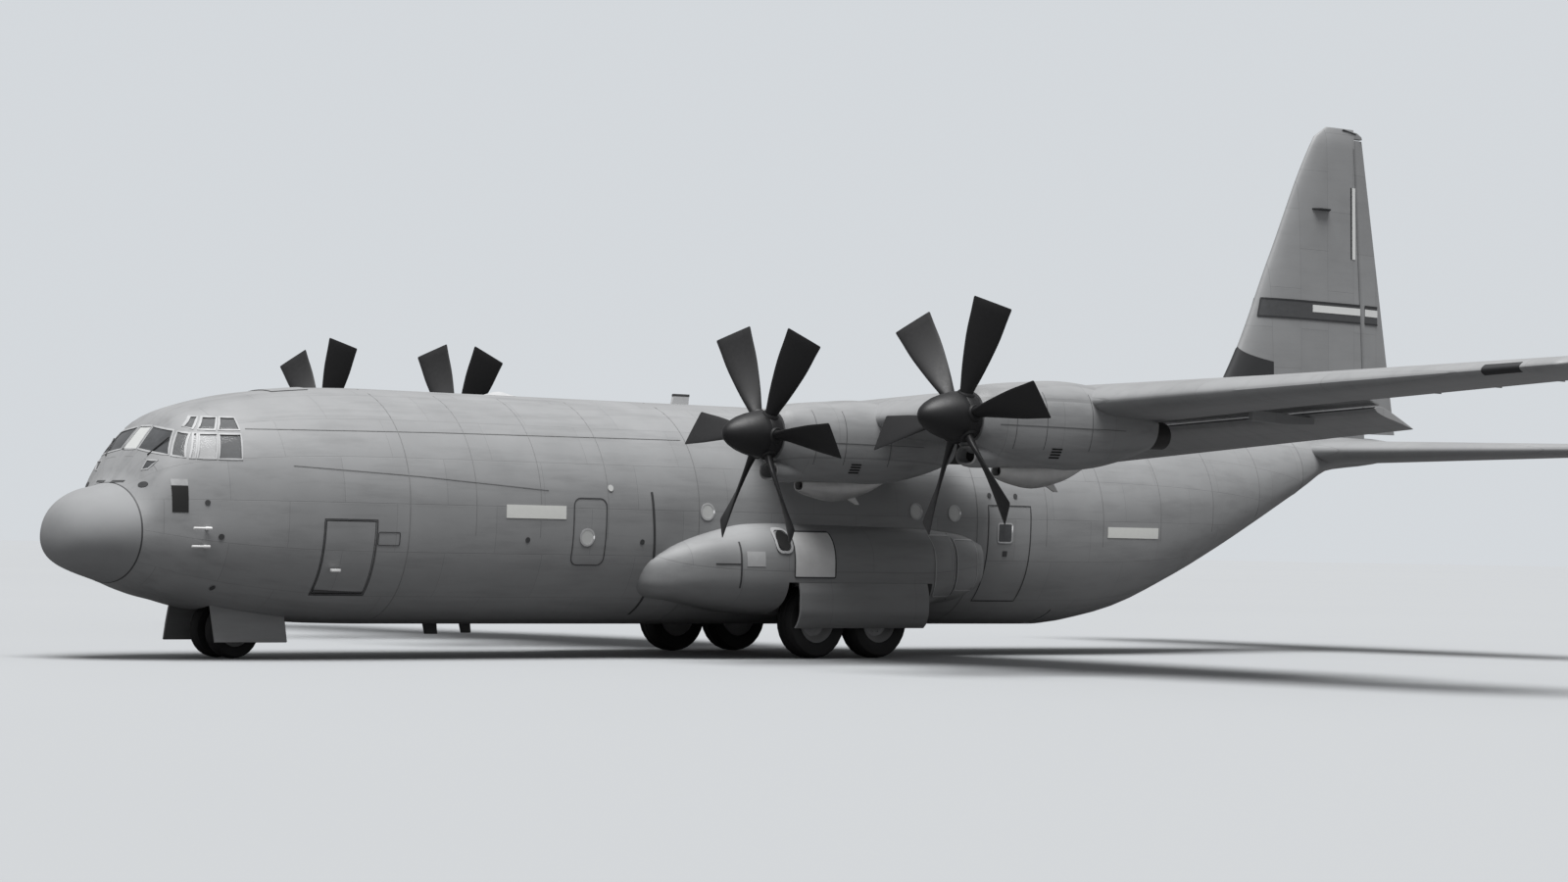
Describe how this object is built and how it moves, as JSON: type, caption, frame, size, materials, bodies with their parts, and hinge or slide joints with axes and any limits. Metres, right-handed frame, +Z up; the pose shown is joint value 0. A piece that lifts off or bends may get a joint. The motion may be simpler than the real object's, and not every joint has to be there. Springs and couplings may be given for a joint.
{
  "type": "military transport plane, four turboprops, high wing, parked on its gear, built at 1:2 scale",
  "caption": "Half-scale model of a high-wing military transport plane with four turboprops, six-blade propellers, rear ramp and turning wheels, parked on its landing gear.",
  "frame": {"origin": "centre of the bounding box at ground level, under the fuselage", "axes": "+X to port, -Y to the nose, +Z up"},
  "size_m": [20.2, 17.16, 5.92],
  "materials": {
    "airframe_grey": "matte",
    "flap_grey": "matte",
    "nacelle_grey": "matte",
    "tail_grey": "matte",
    "blade_black": "satin",
    "gear_metal": "satin",
    "floor_metal": "satin",
    "panel_black": "matte",
    "seat_cloth": "matte",
    "tyre_rubber": "matte",
    "cockpit_glass": "gloss"
  },
  "bodies": {
    "airframe": {"aft_fuselage": "airframe_grey", "cargo_floor": "floor_metal", "centre_fuselage": "airframe_grey", "cockpit_glazing": "cockpit_glass", "fin": "tail_grey", "flap_inner_port": "flap_grey", "flap_inner_starboard": "flap_grey", "flap_outer_port": "flap_grey", "flap_outer_starboard": "flap_grey", "flight_deck_bulkhead": "floor_metal", "flight_deck_floor": "floor_metal", "forward_fuselage": "airframe_grey", "instrument_panel": "panel_black", "jump_door_port": "airframe_grey", "jump_door_starboard": "airframe_grey", "main_gear_port": "gear_metal", "main_gear_starboard": "gear_metal", "nacelle_inner_port": "nacelle_grey", "nacelle_inner_starboard": "nacelle_grey", "nacelle_outer_port": "nacelle_grey", "nacelle_outer_starboard": "nacelle_grey", "nose_gear_door_port": "airframe_grey", "nose_gear_door_starboard": "airframe_grey", "nose_leg_housing": "gear_metal", "nose_section": "airframe_grey", "outer_wing_port": "airframe_grey", "outer_wing_starboard": "airframe_grey", "pilot_seat_port": "seat_cloth", "pilot_seat_starboard": "seat_cloth", "radome": "airframe_grey", "sponson_port": "airframe_grey", "sponson_starboard": "airframe_grey", "tail_cone": "tail_grey", "tailplane": "tail_grey", "wheel_door_port": "airframe_grey", "wheel_door_starboard": "airframe_grey", "wing_centre": "airframe_grey"},
    "propeller_inner_port": {"propeller_inner_port": "blade_black"},
    "propeller_outer_port": {"propeller_outer_port": "blade_black"},
    "main_wheel_front_port": {"main_wheel_front_port": "tyre_rubber"},
    "main_wheel_rear_port": {"main_wheel_rear_port": "tyre_rubber"},
    "propeller_inner_starboard": {"propeller_inner_starboard": "blade_black"},
    "propeller_outer_starboard": {"propeller_outer_starboard": "blade_black"},
    "main_wheel_front_starboard": {"main_wheel_front_starboard": "tyre_rubber"},
    "main_wheel_rear_starboard": {"main_wheel_rear_starboard": "tyre_rubber"},
    "nose_leg": {"nose_leg": "gear_metal"},
    "nose_wheels": {"nose_wheels": "tyre_rubber"},
    "crew_door": {"crew_door": "airframe_grey"},
    "ramp": {"ramp": "airframe_grey"},
    "cargo_door": {"cargo_door": "airframe_grey"},
    "rudder": {"rudder": "tail_grey"},
    "elevators": {"elevator_port": "tail_grey", "elevator_starboard": "tail_grey"},
    "aileron_port": {"aileron_port": "airframe_grey"},
    "aileron_starboard": {"aileron_starboard": "airframe_grey"}
  },
  "joints": [
    {"name": "spin_propeller_inner_port", "type": "hinge", "parent": "airframe", "child": "propeller_inner_port", "pos_m": [2.475, -2.845, 2.065], "axis": [0, 1, 0], "continuous": true},
    {"name": "spin_propeller_outer_port", "type": "hinge", "parent": "airframe", "child": "propeller_outer_port", "pos_m": [5.08, -2.81, 2.18], "axis": [0, 1, 0], "continuous": true},
    {"name": "roll_main_wheel_front_port", "type": "hinge", "parent": "airframe", "child": "main_wheel_front_port", "pos_m": [1.1, -1.09, 0.355], "axis": [1, 0, 0], "continuous": true},
    {"name": "roll_main_wheel_rear_port", "type": "hinge", "parent": "airframe", "child": "main_wheel_rear_port", "pos_m": [1.1, -0.31, 0.355], "axis": [1, 0, 0], "continuous": true},
    {"name": "spin_propeller_inner_starboard", "type": "hinge", "parent": "airframe", "child": "propeller_inner_starboard", "pos_m": [-2.475, -2.845, 2.065], "axis": [0, 1, 0], "continuous": true},
    {"name": "spin_propeller_outer_starboard", "type": "hinge", "parent": "airframe", "child": "propeller_outer_starboard", "pos_m": [-5.08, -2.81, 2.18], "axis": [0, 1, 0], "continuous": true},
    {"name": "roll_main_wheel_front_starboard", "type": "hinge", "parent": "airframe", "child": "main_wheel_front_starboard", "pos_m": [-1.1, -1.09, 0.355], "axis": [1, 0, 0], "continuous": true},
    {"name": "roll_main_wheel_rear_starboard", "type": "hinge", "parent": "airframe", "child": "main_wheel_rear_starboard", "pos_m": [-1.1, -0.31, 0.355], "axis": [1, 0, 0], "continuous": true},
    {"name": "steer_nose", "type": "hinge", "parent": "airframe", "child": "nose_leg", "pos_m": [0, -6.855, 0.69], "axis": [0, 0, 1], "range_deg": [-60, 60]},
    {"name": "roll_nose_wheels", "type": "hinge", "parent": "nose_leg", "child": "nose_wheels", "pos_m": [0, -6.855, 0.2475], "axis": [1, 0, 0], "continuous": true},
    {"name": "open_crew_door", "type": "hinge", "parent": "airframe", "child": "crew_door", "pos_m": [0.83848, -6.4791, 0.601], "axis": [0.0426, 0.9991, 0], "range_deg": [0, 125]},
    {"name": "lower_ramp", "type": "hinge", "parent": "airframe", "child": "ramp", "pos_m": [0, 2.455, 0.335], "axis": [-1, 0, 0], "range_deg": [0, 22]},
    {"name": "raise_cargo_door", "type": "hinge", "parent": "airframe", "child": "cargo_door", "pos_m": [0, 5.99, 1.54], "axis": [-1, 0, 0], "range_deg": [0, 32]},
    {"name": "turn_rudder", "type": "hinge", "parent": "airframe", "child": "rudder", "pos_m": [0, 7.95, 2.45], "axis": [0, -0.0685, 0.9977], "range_deg": [-35, 35]},
    {"name": "turn_elevators", "type": "hinge", "parent": "airframe", "child": "elevators", "pos_m": [0, 7.92, 2.225], "axis": [1, 0, 0], "range_deg": [-15, 40]},
    {"name": "turn_aileron_port", "type": "hinge", "parent": "airframe", "child": "aileron_port", "pos_m": [6.95, -0.06172, 2.43428], "axis": [0.998, -0.0448, 0.0444], "range_deg": [-20, 20]},
    {"name": "turn_aileron_starboard", "type": "hinge", "parent": "airframe", "child": "aileron_starboard", "pos_m": [-6.95, -0.06172, 2.43428], "axis": [0.998, 0.0448, -0.0444], "range_deg": [-20, 20]}
  ],
  "couplings": [
    {"joint": "turn_aileron_starboard", "follows": "turn_aileron_port", "ratio": -1}
  ]
}
